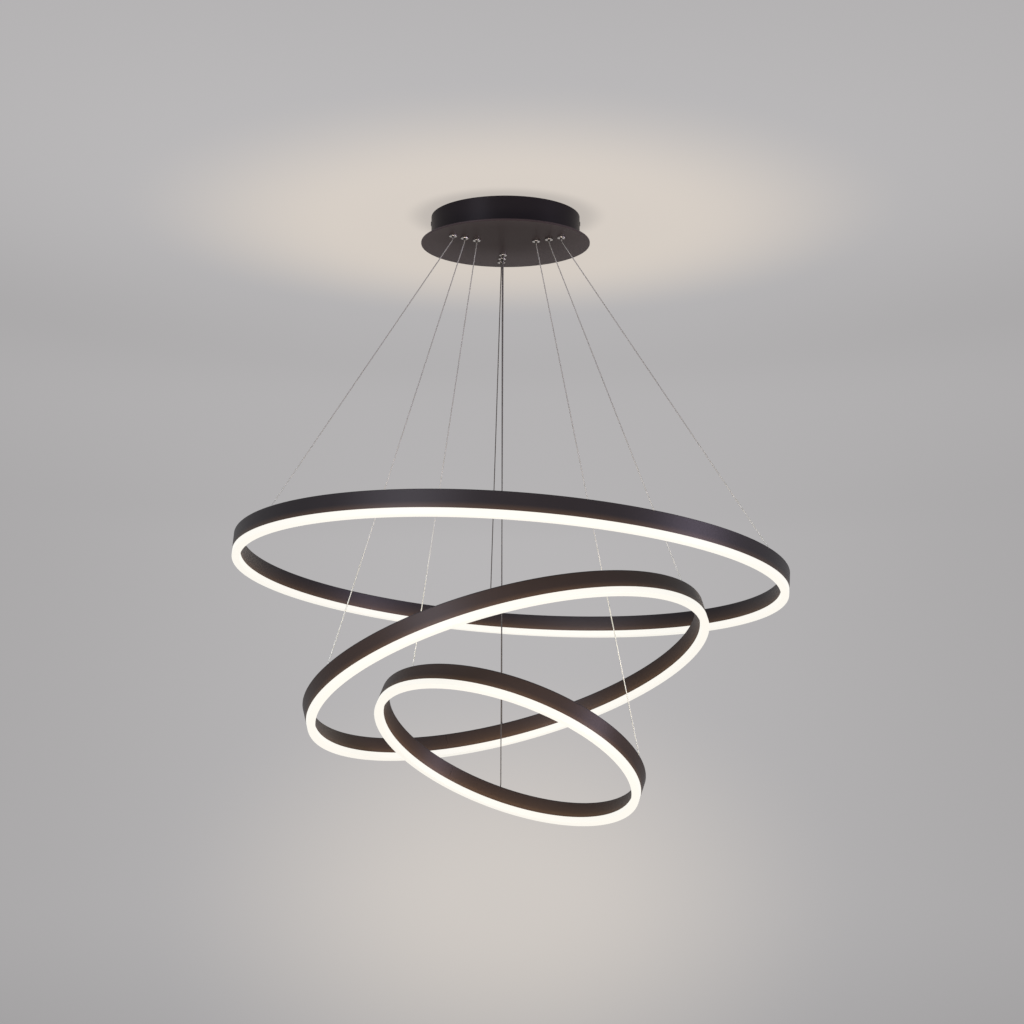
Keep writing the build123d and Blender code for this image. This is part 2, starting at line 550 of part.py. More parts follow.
if __name__ == "__main__":
    save(ceiling_bracket(), "ceiling_bracket")
    save(canopy_drum(), "canopy_drum")
    save(canopy_plate(), "canopy_plate")
    save([Rot(0, 0, azimuth) * side_screw() for azimuth in (0, 180)], "side_screws")
    nuts = [place * stud_nut(PLATE_TOP + DRUM_WALL) for place in stud_places()[:6]]
    save(nuts, "plate_nuts")
    save([place * stud_nut(PLATE_TOP + EAR_THICKNESS) for place in stud_places()[6:]], "driver_nuts")
    for number, azimuth in enumerate(DRIVER_AZIMUTHS):
        save(polar(DRIVER_CIRCLE, azimuth) * driver(), f"driver_ring{number + 1}")
    save(terminal_block(), "terminal_block")
    save([Pos(pole * BLOCK_PITCH, 0, 0) * terminal_screw() for pole in (-1, 0, 1)], "terminal_screws")
    save(earth_terminal(), "earth_terminal")
    save(mains_leads(), "mains_leads")
    save(output_leads(), "output_leads")

    barrels, nuts, springs = [], [], []
    for number, circle in enumerate(GRIPPER_CIRCLES):
        for side, azimuth in zip(SIDES, GRIPPER_AZIMUTHS):
            place = polar(circle, azimuth)
            barrels.append(place * gripper_barrel(bore_of(side)))
            nuts.append(place * gripper_nut())
            springs.append(place * gripper_spring())
            save(place * gripper_plunger(bore_of(side)), f"ring{number + 1}_plunger_{side}")
    save(barrels, "gripper_barrels")
    save(nuts, "gripper_nuts")
    save(springs, "gripper_springs")

    for number in range(len(RING_DIAMETERS)):
        hung = ring_plane(number).location
        name = f"ring{number + 1}"
        save(hung * channel(number), f"{name}_channel")
        save(hung * diffuser(number), f"{name}_diffuser")
        save(hung * led_strip(number), f"{name}_led_strip")
        save(hung * joint_plate(number), f"{name}_joint_plate")
        save([hung * screw for screw in joint_screws(number)], f"{name}_joint_screws")
        save([hung * piece for piece in anchor_pieces(number, wire_anchor)], f"{name}_wire_anchors")
        save([hung * piece for piece in anchor_pieces(number, anchor_nut)], f"{name}_anchor_nuts")
        save([hung * piece for piece in anchor_pieces(number, wire_end)], f"{name}_wire_ends")
        for index, side in enumerate(SIDES):
            tube, length, bend = suspension(number, index)
            node = f"{name}_power_lead" if side == "back" else f"{name}_wire_{side}"
            save(tube, node)
            print(f"{node}: {length:.1f} mm long, {tube.volume:.1f} mm3, tightest bend {bend:.1f} mm")
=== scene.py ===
"""Three lit rings under a round canopy: fine surfaces, finishes, suspension, room and light.

Metres, +Z up. z = 0 is the ceiling, the Z axis is the canopy's axis and the back is +Y.
"""

import json
import math

import bpy
import numpy as np
from mathutils import Matrix, Vector
from mathutils.geometry import tessellate_polygon


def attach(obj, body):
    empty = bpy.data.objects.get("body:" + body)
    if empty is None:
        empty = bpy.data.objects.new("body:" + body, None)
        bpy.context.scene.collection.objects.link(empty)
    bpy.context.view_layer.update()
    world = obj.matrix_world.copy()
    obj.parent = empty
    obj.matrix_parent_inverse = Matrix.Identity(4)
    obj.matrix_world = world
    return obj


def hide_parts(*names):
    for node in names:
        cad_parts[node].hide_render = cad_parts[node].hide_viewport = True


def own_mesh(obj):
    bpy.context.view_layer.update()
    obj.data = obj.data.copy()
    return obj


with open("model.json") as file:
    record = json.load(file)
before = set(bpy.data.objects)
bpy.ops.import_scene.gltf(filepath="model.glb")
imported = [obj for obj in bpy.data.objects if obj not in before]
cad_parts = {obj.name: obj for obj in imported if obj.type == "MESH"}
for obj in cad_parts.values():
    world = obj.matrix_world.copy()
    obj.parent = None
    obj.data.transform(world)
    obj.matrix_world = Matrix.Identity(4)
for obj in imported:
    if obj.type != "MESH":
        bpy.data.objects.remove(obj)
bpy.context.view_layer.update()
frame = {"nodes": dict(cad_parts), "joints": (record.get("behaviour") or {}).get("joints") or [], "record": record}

MM = 0.001

# Viewpoint of the photograph
CAMERA_PLACE = (0.0, -2.52917, -0.76391)
CAMERA_LENS = 61.624
CAMERA_SENSOR = 36.0
CAMERA_PITCH = 7.2874
CAMERA_YAW = 0.2150
CAMERA_ROLL = -0.0131

# Canopy
DRUM_RADIUS = 110 * MM
DRUM_WALL = 1.2 * MM
DRUM_BOTTOM = -38 * MM
DRUM_EDGE = 0.3 * MM
FLANGE_WIDTH = 14 * MM
FLANGE_NOTCH_RADIUS = 8 * MM
PLATE_RADIUS = 125 * MM
PLATE_BOTTOM = -41 * MM
PLATE_EDGE = 0.8 * MM
PLATE_LID_RADIUS = 4 * MM
STUD_RADIUS = 2 * MM
STUD_HEIGHT = 7 * MM
STUD_ROOT = 0.5 * MM
STUD_CIRCLE = 103 * MM
STUD_AZIMUTHS = tuple(3.0 + 60.0 * k for k in range(6))
DRIVER_CIRCLE = 59 * MM
DRIVER_AZIMUTHS = (33.0, 153.0, 273.0)
DRIVER_STUD_OFFSET = 49 * MM
SCREW_CLEARANCE_RADIUS = 2.2 * MM
SIDE_SCREW_Z = -9 * MM
TURNED_STEPS = 288

# Wire grippers under the canopy
SIDES = ("left", "right", "back")
GRIPPER_AZIMUTHS = (214.0, 332.0, 94.0)
GRIPPER_CIRCLES = (92 * MM, 72 * MM, 51 * MM)
GRIPPER_HOLE_RADIUS = 4.2 * MM
HEAD_RADIUS = 5.8 * MM
HEAD_BOTTOM = -43.4 * MM
HEAD_EDGE = 0.8 * MM
SHANK_RADIUS = 4 * MM
SHANK_TOP = -30 * MM
CHAMBER_RADIUS = 3.2 * MM
CHAMBER_TOP = -34.4 * MM
LIP_RADIUS = 2.2 * MM
LIP_TOP = -42.4 * MM
PLUNGER_BOTTOM = -45.9 * MM
PLUNGER_SHOULDER = -42.3 * MM
PLUNGER_TOP = -40.3 * MM
PLUNGER_NECK_RADIUS = 1.9 * MM
PLUNGER_HEAD_RADIUS = 2.9 * MM
PLUNGER_EDGE = 0.4 * MM
SPRING_RADIUS = 2.3 * MM
SPRING_WIRE = 0.5 * MM
SPRING_TURNS = 5
SPRING_GAP = 0.05 * MM
SPRING_STEPS = 180
SPRING_SIDES = 12
WIRE_BORE_RADIUS = 0.9 * MM
LEAD_BORE_RADIUS = 1.0 * MM
FINE_EDGE = 0.1 * MM
FITTING_EDGE_STEPS = 4
FITTING_SUPPORT = 0.02 * MM
FITTING_STEPS = 48

# Rings, largest first
RING_NAMES = ("ring1", "ring2", "ring3")
RING_DIAMETERS = (800 * MM, 594 * MM, 400 * MM)
RING_CENTRES = ((6 * MM, 0, -547 * MM), (8 * MM, 0, -689 * MM), (-1 * MM, 0, -796 * MM))
RING_TILTS = (8.1, 22.4, 30.7)
RING_TILT_AZIMUTHS = (59.5, 131.0, 51.0)
ANCHOR_AZIMUTHS = ((215.5, 332.0, 95.0), (212.0, 331.0, 91.0), (220.5, 354.0, 95.5))
JOINT_AZIMUTHS = (110.0, 110.0, 120.0)
JOINT_SCREW_OFFSETS = (-22 * MM, -9 * MM, 9 * MM, 22 * MM)
JOINT_GAP = 0.3 * MM

# Ring section, measured up from the diffuser's bottom
SECTION_WIDTH = 12 * MM
CHANNEL_BOTTOM = 9.5 * MM
CHANNEL_TOP = 33.5 * MM
CHANNEL_WALL = 1.2 * MM
CHANNEL_EDGE = 0.8 * MM
WEB_BOTTOM = 20.5 * MM
DIFFUSER_WIDTH = 11.6 * MM
DIFFUSER_EDGE = 1.5 * MM
DIFFUSER_FLOOR = 2 * MM
DIFFUSER_CAVITY = 7.4 * MM
DIFFUSER_LEG = 5.5 * MM
LEG_CLEARANCE = 0.1 * MM
ANCHOR_HOLE_RADIUS = 2.2 * MM
LEAD_HOLE_RADIUS = 1.2 * MM
CUT_MARGIN = 0.5 * MM
CHAMBER_EDGE_STEPS = 2
RING_STEPS = 480

# Fineness of the other shapes
EDGE_STEPS = 6
EDGE_SUPPORT = 0.08 * MM
ROD_STEPS = 32
SHARP_ANGLE = 30

# Suspension
TAIL_TOP = -24 * MM
MOUTH_STANDOFF = 1.5 * MM
ANCHOR_TOP = 34.3 * MM
WIRE_FOOT = 26.7 * MM
WIRE_DIAMETER = 1.5 * MM
LEAD_DIAMETER = 1.6 * MM
CORNER_DIAMETERS = 6
WIRE_STRANDS = 7
STRAND_DEPTH = 0.02
LAY_LENGTH = 12 * MM
WIRE_STEP = 0.5 * MM
LEAD_STEP = 2 * MM
LEAST_STEP_SHARE = 0.1
SPLINE_ORDER = 3
SPLINE_RESOLUTION = 24
SUSPENSION_SIDES = 28
SQUASH_HEIGHT = -47.4 * MM

# Room
CEILING_GAP = 0.6 * MM
CEILING_HUB = 2 * MM
CEILING_STEP = 0.5
ROOM_RADIUS = 3.6
COVE_RADIUS = 0.4
COVE_STEPS = 16
WALL_BOTTOM = -3.0
FLOOR_HEIGHT = -2.9
FLOOR_HUB = 10 * MM
FLOOR_STEPS = 96


def full_turn(steps):
    """Azimuths spaced evenly all the way round, in degrees."""
    return np.arange(steps) * 360 / steps


class Turning:
    """A centre and three square directions. Profiles are turned about the third one. Azimuths start
    at the first one, which points as nearly to +X as it can, or to +Y where the third runs along X."""

    def __init__(self, centre=(0, 0, 0), up=(0, 0, 1)):
        self.centre = Vector(centre)
        self.up = Vector(up)
        reference = Vector((0, 1, 0)) if abs(self.up.x) > 0.9 else Vector((1, 0, 0))
        self.along = (reference - self.up * self.up.dot(reference)).normalized()
        self.across = self.up.cross(self.along)

    def points(self, azimuths, radii, heights):
        """Arrays of places: the centre, plus the radius turned by the azimuth, plus the height."""
        angles = np.radians(azimuths)
        parts = np.broadcast_arrays(radii * np.cos(angles), radii * np.sin(angles), heights)
        directions = np.array([self.along, self.across, self.up])
        return np.array(self.centre) + np.stack(parts, axis=-1) @ directions

    def point(self, azimuth, radius, height=0.0):
        """One such place."""
        return Vector(self.points(azimuth, radius, height))

    def carried(self, profile, azimuths):
        """Grid of a profile's radii and heights at each azimuth, one azimuth to a row."""
        return self.points(azimuths[:, None], profile[None, :, 0], profile[None, :, 1])


class Ring(Turning):
    """One ring's own plane, with its centre at the diffuser's bottom."""

    def __init__(self, number):
        lean = math.radians(RING_TILTS[number])
        up = Turning().point(RING_TILT_AZIMUTHS[number], math.sin(lean), math.cos(lean))
        super().__init__(RING_CENTRES[number], up)
        self.number = number
        self.name = RING_NAMES[number]
        self.middle = RING_DIAMETERS[number] / 2 - SECTION_WIDTH / 2

    def screw_azimuths(self):
        """Azimuths of the four screws across the channel's joint."""
        offsets = [math.degrees(offset / self.middle) for offset in JOINT_SCREW_OFFSETS]
        return [JOINT_AZIMUTHS[self.number] + offset for offset in offsets]


CANOPY = Turning()
RINGS = [Ring(number) for number in range(len(RING_NAMES))]


# Shader maths

class Value:
    """A shader socket. Sums, differences and products of values add their Math nodes."""

    def __init__(self, finish, socket):
        self.finish = finish
        self.socket = socket

    def maths(self, operation, *terms):
        """One Math node with the terms on its sockets in order."""
        return self.finish.node("ShaderNodeMath", {"operation": operation}, dict(enumerate(terms)))

    def __add__(self, other):
        return self.maths("ADD", self, other)

    def __sub__(self, other):
        return self.maths("SUBTRACT", self, other)

    def __rsub__(self, other):
        return self.maths("SUBTRACT", other, self)

    def __mul__(self, other):
        return self.maths("MULTIPLY", self, other)

    __radd__ = __add__
    __rmul__ = __mul__

    def rise(self, low, high):
        """0 at low, 1 at high, either way round, and a smooth step between them."""
        if low > high:
            return 1 - self.rise(high, low)
        inputs = {"Value": self, "From Min": low, "From Max": high}
        return self.finish.node("ShaderNodeMapRange", {"interpolation_type": "SMOOTHSTEP"}, inputs)

    def spread(self, colour):
        """A colour times the value."""
        inputs = {0: colour, "Scale": self}
        return self.finish.node("ShaderNodeVectorMath", {"operation": "SCALE"}, inputs)


class Finish:
    """One material and the nodes that make it."""

    def __init__(self, name):
        self.material = bpy.data.materials.new(name)
        self.material.use_nodes = True
        self.tree = self.material.node_tree
        self.tree.nodes.clear()

    def node(self, kind, settings=None, inputs=None, out=0):
        """Any node: its settings first, then the values or links of its sockets."""
        made = self.tree.nodes.new(kind)
        for name, value in (settings or {}).items():
            setattr(made, name, value)
        for name, value in (inputs or {}).items():
            if isinstance(value, Value):
                self.tree.links.new(value.socket, made.inputs[name])
            else:
                made.inputs[name].default_value = value
        return Value(self, made.outputs[out] if len(made.outputs) else None)

    def place(self):
        """Object coordinates, in metres."""
        return self.node("ShaderNodeTexCoord", out="Object")

    def noise(self, grain, detail=2.0, vector=None):
        """Noise about 0.5, with a grain in metres."""
        inputs = {"Vector": vector or self.place(), "Scale": 1 / grain, "Detail": detail}
        return self.node("ShaderNodeTexNoise", None, inputs)

    def mix(self, share, first, second):
        """Colour between two colours by a share. The node's colour sockets are 6 and 7 in, 2 out."""
        inputs = {0: share, 6: first, 7: second}
        return self.node("ShaderNodeMix", {"data_type": "RGBA"}, inputs, out=2)

    def vectors(self, operation, *terms, out="Vector"):
        """One Vector Math node with the terms on its sockets in order."""
        settings = {"operation": operation}
        return self.node("ShaderNodeVectorMath", settings, dict(enumerate(terms)), out)

    def distance(self, centre=(0.0, 0.0, 0.0), stretch=(1.0, 1.0, 1.0)):
        """Distance from a centre, with each axis stretched first, or left out by a stretch of 0."""
        away = self.vectors("SUBTRACT", self.place(), centre)
        return self.vectors("LENGTH", self.vectors("MULTIPLY", away, stretch), out="Value")

    def axes(self):
        """The place's x, y and z, one value each."""
        parts = self.node("ShaderNodeSeparateXYZ", None, {0: self.place()}).socket.node
        return [Value(self, socket) for socket in parts.outputs]

    def bump(self, height, distance, strength):
        """Normal of a relief with the given height in metres at 1."""
        inputs = {"Height": height, "Distance": distance, "Strength": strength}
        return self.node("ShaderNodeBump", None, inputs)

    def shown(self, shader):
        """Puts a shader on the material's output."""
        self.node("ShaderNodeOutputMaterial", None, {"Surface": shader})
        return self

    def surface(self, **sockets):
        """Principled shader on the output, its sockets named with underscores for spaces."""
        named = {name.replace("_", " "): value for name, value in sockets.items()}
        return self.shown(self.node("ShaderNodeBsdfPrincipled", None, named))

    def cover(self, *pieces):
        """Puts the finish on every piece."""
        for piece in pieces:
            if piece.material_slots:
                piece.material_slots[0].material = self.material
            else:
                piece.data.materials.append(self.material)


def shades(colour, low, high):
    """The colour times a low and a high share, as two colours with alpha."""
    return [(*[min(1.0, channel * share) for channel in colour], 1.0) for share in (low, high)]


# Finishes

# Powder coats. Each relief here and below is its height and its strength
DRUM_COAT = (0.0118, 0.0100, 0.0120)
# Painted light: the plate's coat is the charcoal painted lighter and warmer, as lit by the rings below, and paler
# still towards its front and sides
PLATE_PAINTED_LIT_COAT = (0.0253, 0.0173, 0.0178)
PLATE_PAINTED_LIGHT = (0.060, 0.050, 0.054)
RING_COAT = (0.0120, 0.0100, 0.0120)
# Painted shade: the rings' charcoal a little darker along their top edge
RING_TOP_SHADE = (0.010, 0.009, 0.011)
# Painted light: the warm glow of the diffusers' light on the rings' coat
PAINTED_GLOW_COLOUR = (0.068, 0.042, 0.025)
DRUM_GLOSS = 0.06
PLATE_GLOSS = 0.05
RING_GLOSS = 0.24
COAT_CLOUD = 45 * MM
COAT_PEEL = 1.1 * MM
COAT_GRAIN = 0.35 * MM
COAT_RELIEF = (0.06 * MM, 0.5)
COAT_SHADES = (0.88, 1.12)
COAT_ROUGHNESS = 0.34

# Where painted light and painted shade change the coats' colour
# Painted light on the plate, growing away from a point before its middle
PLATE_PAINTED_LIGHT_CENTRE = (0.0, -45 * MM, PLATE_BOTTOM)
PLATE_PAINTED_LIGHT_REACH = (40 * MM, 150 * MM)
# Shares of the painted glow of the diffusers' light: for each ring, just above the diffuser and up the inner face
RING_PAINTED_GLOW = (0.0, 0.24, 0.27)
LOW_PAINTED_GLOW = 0.55
LOW_PAINTED_GLOW_HEIGHT = 9 * MM
INSIDE_PAINTED_GLOW = 0.40
INSIDE_PAINTED_GLOW_WIDTH = 0.45 * SECTION_WIDTH
# Painted shade along the rings' top edge
TOP_EDGE_SHADE = (CHANNEL_TOP - 2.2 * MM, CHANNEL_TOP - 0.6 * MM)
TOP_EDGE_SHADE_SHARE = 0.8

# Opal diffusers
OPAL_BASE = (0.10, 0.098, 0.092, 1.0)
OPAL_LOW_GLOW = (0.860, 0.835, 0.765, 1.0)
OPAL_GLOW = (0.868, 0.853, 0.792, 1.0)
OPAL_CLOUD_GLOW = (0.885, 0.875, 0.820, 1.0)
OPAL_CLOUD_SHARE = 0.15
OPAL_LOW_HEIGHT = 2.5 * MM
OPAL_CLOUD = 30 * MM
OPAL_GRAIN = 0.6 * MM
OPAL_RELIEF = (0.02 * MM, 0.3)
OPAL_ROUGHNESS = 0.45
OPAL_GLOSS = 0.3

# Plated metals
PLATED_SHADES = (0.88, 1.08)
PLATED_CLOUD = 6 * MM
PLATED_SPOTS = 0.8 * MM
PLATED_LINES = 0.25 * MM
PLATED_LINE_STRETCH = (0.08, 0.08, 1.0)
PLATED_RELIEF = (0.03 * MM, 0.4)

# Moulded plastics
MOULDED_SHADES = (0.92, 1.06)
MOULDED_MOTTLE = 12 * MM
MOULDED_GRAIN = 0.5 * MM
MOULDED_RELIEF = (0.03 * MM, 0.4)

# Stranded wires: painted shade up by the canopy and painted light from the lit rings lower down, each between the
# strands and on their crowns, which are painted a little lighter, and the heights between which the painted light
# comes in
STRANDS_IN_PAINTED_SHADE = ((0.28, 0.28, 0.265, 1.0), (0.29, 0.29, 0.275, 1.0))
STRANDS_IN_PAINTED_LIGHT = ((0.66, 0.695, 0.625, 1.0), (0.69, 0.725, 0.65, 1.0))
PAINTED_LIGHT_HEIGHTS = (-0.25, -0.66)
STRAND_STREAK = 3 * MM
STRAND_ROUGHNESS = 0.54
STRAND_METAL = 0.5


def powder_coat(name, colour, gloss, *tints):
    """Fine matt powder coat: orange peel, grain and a faint clouding. Each tint is another colour
    and a function that gives its share of the surface."""
    finish = Finish(name)
    cloud = finish.noise(COAT_CLOUD, detail=3)
    peel = finish.noise(COAT_PEEL)
    grain = finish.noise(COAT_GRAIN, detail=1)
    base = finish.mix(cloud, *shades(colour, *COAT_SHADES))
    for tint, share in tints:
        base = finish.mix(share(finish), base, (*tint, 1.0))
    return finish.surface(
        Base_Color=base,
        Roughness=COAT_ROUGHNESS + peel * 0.10 + cloud * 0.05,
        Specular_IOR_Level=gloss,
        Normal=finish.bump(peel * 0.7 + grain * 0.3, *COAT_RELIEF),
    )


def ring_height(finish, ring):
    """Height in the ring's own plane: the place less the centre, along the plane's normal."""
    away = finish.vectors("SUBTRACT", finish.place(), tuple(ring.centre))
    return finish.vectors("DOT_PRODUCT", away, tuple(ring.up), out="Value")


def ring_reach(finish, ring):
    """Distance from the ring's axis: the length of the place less the centre, crossed with the
    plane's normal."""
    away = finish.vectors("SUBTRACT", finish.place(), tuple(ring.centre))
    crossed = finish.vectors("CROSS_PRODUCT", away, tuple(ring.up))
    return finish.vectors("LENGTH", crossed, out="Value")


def painted_glow_share(finish, ring):
    """Share of the painted glow of the diffusers' light: most just above the diffuser, less on up the inner face,
    and more all over on the lower rings."""
    height = ring_height(finish, ring)
    low = height.rise(CHANNEL_BOTTOM + LOW_PAINTED_GLOW_HEIGHT, CHANNEL_BOTTOM)
    inside = ring_reach(finish, ring).rise(ring.middle, ring.middle - INSIDE_PAINTED_GLOW_WIDTH)
    up_the_face = inside * height.rise(CHANNEL_TOP, CHANNEL_BOTTOM)
    return low * LOW_PAINTED_GLOW + up_the_face * INSIDE_PAINTED_GLOW + RING_PAINTED_GLOW[ring.number]


def plate_painted_light_share(finish):
    """Share of the plate's painted light: it grows with the distance from a point before its middle."""
    return finish.distance(PLATE_PAINTED_LIGHT_CENTRE).rise(*PLATE_PAINTED_LIGHT_REACH)


def ring_coat(ring):
    """The rings' charcoal coat, with painted light and shade: the diffusers' warm glow painted on, and painted
    shade at the top edge.
    """
    return powder_coat(
        f"{ring.name}_charcoal_coat", RING_COAT, RING_GLOSS,
        # Painted light: the diffusers' warm glow. Painted shade: the darker top edge
        (PAINTED_GLOW_COLOUR, lambda finish: painted_glow_share(finish, ring)),
        (RING_TOP_SHADE, lambda finish: ring_height(finish, ring).rise(*TOP_EDGE_SHADE) * TOP_EDGE_SHADE_SHARE),
    )


def opal(ring):
    """Lit opal diffuser: warm white light, a little deeper in colour at its lower edge."""
    finish = Finish(f"{ring.name}_opal")
    height = ring_height(finish, ring)
    cloud = finish.noise(OPAL_CLOUD)
    glow = finish.mix(height.rise(0, OPAL_LOW_HEIGHT), OPAL_LOW_GLOW, OPAL_GLOW)
    glow = finish.mix(cloud * OPAL_CLOUD_SHARE, glow, OPAL_CLOUD_GLOW)
    return finish.surface(
        Base_Color=OPAL_BASE,
        Roughness=OPAL_ROUGHNESS + cloud * 0.1,
        Specular_IOR_Level=OPAL_GLOSS,
        Emission_Color=glow,
        Emission_Strength=1.0,
        Normal=finish.bump(finish.noise(OPAL_GRAIN, detail=1), *OPAL_RELIEF),
    )


def plated(name, colour, rough, turned):
    """Plated metal: fine turning or rolling lines, faint spots and a soft cloud in its gloss."""
    finish = Finish(name)
    cloud = finish.noise(PLATED_CLOUD, detail=3)
    spots = finish.noise(PLATED_SPOTS)
    squeezed = finish.vectors("MULTIPLY", finish.place(), PLATED_LINE_STRETCH)
    lines = finish.noise(PLATED_LINES, detail=1, vector=squeezed)
    return finish.surface(
        Base_Color=finish.mix(cloud, *shades(colour, *PLATED_SHADES)),
        Metallic=1.0,
        Roughness=rough + cloud * 0.10 + spots * 0.06,
        Normal=finish.bump(lines * turned + spots * 0.2, *PLATED_RELIEF),
    )


def moulded(name, colour, rough):
    """Moulded plastic: fine grain and a faint mottling."""
    finish = Finish(name)
    mottle = finish.noise(MOULDED_MOTTLE)
    grain = finish.noise(MOULDED_GRAIN, detail=1)
    return finish.surface(
        Base_Color=finish.mix(mottle, *shades(colour, *MOULDED_SHADES)),
        Roughness=rough + grain * 0.15,
        Normal=finish.bump(grain, *MOULDED_RELIEF),
    )


def stranded_steel(name):
    """Steel strands: crowns painted a little lighter than between the strands, painted shade up by the canopy, and
    painted light from the lit rings lower down.
    """
    finish = Finish(name)
    crown = finish.node("ShaderNodeAttribute", {"attribute_name": "crown"}, out="Fac")
    streak = finish.noise(STRAND_STREAK)
    height = finish.axes()[2]
    # Painted shade up by the canopy, painted light from the rings lower down, crowns painted a little lighter
    shaded_strands = finish.mix(crown, *STRANDS_IN_PAINTED_SHADE)
    lit_strands = finish.mix(crown, *STRANDS_IN_PAINTED_LIGHT)
    return finish.surface(
        Base_Color=finish.mix(height.rise(*PAINTED_LIGHT_HEIGHTS), shaded_strands, lit_strands),
        Metallic=STRAND_METAL,
        Roughness=STRAND_ROUGHNESS + streak * 0.08,
    )


# Meshes

class Shape:
    """Surfaces gathered into one mesh, which share the places that they meet at."""

    def __init__(self):
        self.places = np.zeros((0, 3))
        self.faces = []
        self.smooth = []

    def add(self, faces, smooth):
        """Faces as rows of place numbers, all smooth or all flat."""
        self.faces += faces.tolist()
        self.smooth += [smooth] * len(faces)

    def surface(self, grid, closed_rows=False, closed_columns=False, flip=False):
        """Quads over a grid of places, closed round where asked. Gives the grid's place numbers."""
        rows, columns = grid.shape[:2]
        numbers = len(self.places) + np.arange(rows * columns).reshape(rows, columns)
        self.places = np.concatenate([self.places, grid.reshape(-1, 3)])
        joined = np.pad(numbers, ((0, int(closed_rows)), (0, int(closed_columns))), mode="wrap")
        corners = [joined[:-1, :-1], joined[1:, :-1], joined[1:, 1:], joined[:-1, 1:]]
        self.add(np.stack(corners[::-1] if flip else corners, axis=-1).reshape(-1, 4), True)
        return numbers

    def lid(self, loops, facing):
        """Flat triangles between closed loops of place numbers, all turned to face one way."""
        outlines = [[Vector(self.places[number]) for number in loop] for loop in loops]
        order = np.concatenate(loops)
        triangles = order[np.array(tessellate_polygon(outlines))]
        first, second, third = (self.places[triangles[:, k]] for k in range(3))
        away = np.cross(second - first, third - first) @ np.array(facing) < 0
        triangles[away] = triangles[away][:, ::-1]
        self.add(triangles, False)

    def turned(self, turning, section, steps, flip=False):
        """A closed section carried all the way round a turning's axis."""
        grid = turning.carried(section, full_turn(steps))
        self.surface(grid, closed_rows=True, closed_columns=True, flip=flip)

    def turned_open(self, turning, profile, steps, flip=False):
        """An open profile carried all the way round. Gives the grid's place numbers."""
        grid = turning.carried(np.array(profile), full_turn(steps))
        return self.surface(grid, closed_rows=True, flip=flip)

    def rod(self, turning, radius, low, high):
        """Closed round bar along a turning's axis between two heights: a circle at each end."""
        numbers = self.turned_open(turning, [(radius, low), (radius, high)], ROD_STEPS)
        self.lid([numbers[:, 0]], -turning.up)
        self.lid([numbers[:, 1]], turning.up)

    def piece(self, name):
        """The object, at the origin, with smooth curved faces and flat lids."""
        mesh = bpy.data.meshes.new(name)
        mesh.from_pydata(self.places.tolist(), [], self.faces)
        mesh.polygons.foreach_set("use_smooth", self.smooth)
        mesh.update()
        made = bpy.data.objects.new(name, mesh)
        bpy.context.scene.collection.objects.link(made)
        return made


def rounded(corners, steps=EDGE_STEPS, support=EDGE_SUPPORT):
    """Closed outline through corners given as radius, height and rounding. Each corner is an arc
    that turns evenly from one side to the next, with a place on each side just outside it, so that
    the flat sides shade as flat."""
    outline = []
    for number, (across, up, rounding) in enumerate(corners):
        here = np.array((across, up))
        before = np.array(corners[number - 1][:2]) - here
        after = np.array(corners[(number + 1) % len(corners)][:2]) - here
        before, after = before / np.linalg.norm(before), after / np.linalg.norm(after)
        half = math.acos(before @ after) / 2
        reach = rounding / math.tan(half)
        middle = here + (before + after) / np.linalg.norm(before + after) * rounding / math.sin(half)
        start, end = here + before * reach - middle, here + after * reach - middle
        turn = math.pi - 2 * half
        share = np.linspace(0, 1, steps + 1)[:, None]
        arc = (np.sin((1 - share) * turn) * start + np.sin(share * turn) * end) / math.sin(turn)
        first, last = here + before * (reach + support), here + after * (reach + support)
        outline += [first, *(middle + arc), last]
    return np.array(outline)


def drilled(piece, holes):
    """Takes a shape of closed bars out of a piece, and keeps the holes' rims sharp."""
    cutter = holes.piece("cutter")
    modifier = piece.modifiers.new("holes", "BOOLEAN")
    modifier.operation = "DIFFERENCE"
    modifier.solver = "EXACT"
    modifier.object = cutter
    solid = piece.evaluated_get(bpy.context.evaluated_depsgraph_get())
    mesh = bpy.data.meshes.new_from_object(solid)
    mesh.set_sharp_from_angle(angle=math.radians(SHARP_ANGLE))
    piece.modifiers.clear()
    piece.data = mesh
    bpy.data.objects.remove(cutter)
    return piece


def tube(name, places, travelled, diameter, strands=0, sides=SUSPENSION_SIDES, reference=(0, 1, 0)):
    """Tube along a line that never runs along the reference direction, its places turned once in
    each lay length. Its radius is full on each strand's crown and less by the strand depth between
    two strands."""
    ahead = np.gradient(places, axis=0)
    ahead /= np.linalg.norm(ahead, axis=1)[:, None]
    side = np.cross(ahead, reference)
    side /= np.linalg.norm(side, axis=1)[:, None]
    other = np.cross(ahead, side)
    start = np.arange(sides) * 2 * np.pi / sides
    angle = start + 2 * np.pi * travelled[:, None] / LAY_LENGTH
    crown = np.ones_like(angle) * np.abs(np.cos(start * strands / 2))
    radius = diameter / 2 * (1 - STRAND_DEPTH * (1 - crown))
    around = np.cos(angle)[..., None] * side[:, None] + np.sin(angle)[..., None] * other[:, None]
    grid = places[:, None] + radius[..., None] * around
    shape = Shape()
    numbers = shape.surface(grid, closed_columns=True, flip=True)
    shape.lid([numbers[0]], -ahead[0])
    shape.lid([numbers[-1]], ahead[-1])
    piece = shape.piece(name)
    levels = piece.data.attributes.new("crown", "FLOAT", "POINT")
    levels.data.foreach_set("value", crown.astype(np.float32).ravel())
    return piece


def length_along(places):
    """The length travelled to each of a line's places."""
    return np.concatenate([[0.0], np.cumsum(np.linalg.norm(np.diff(places, axis=0), axis=1))])


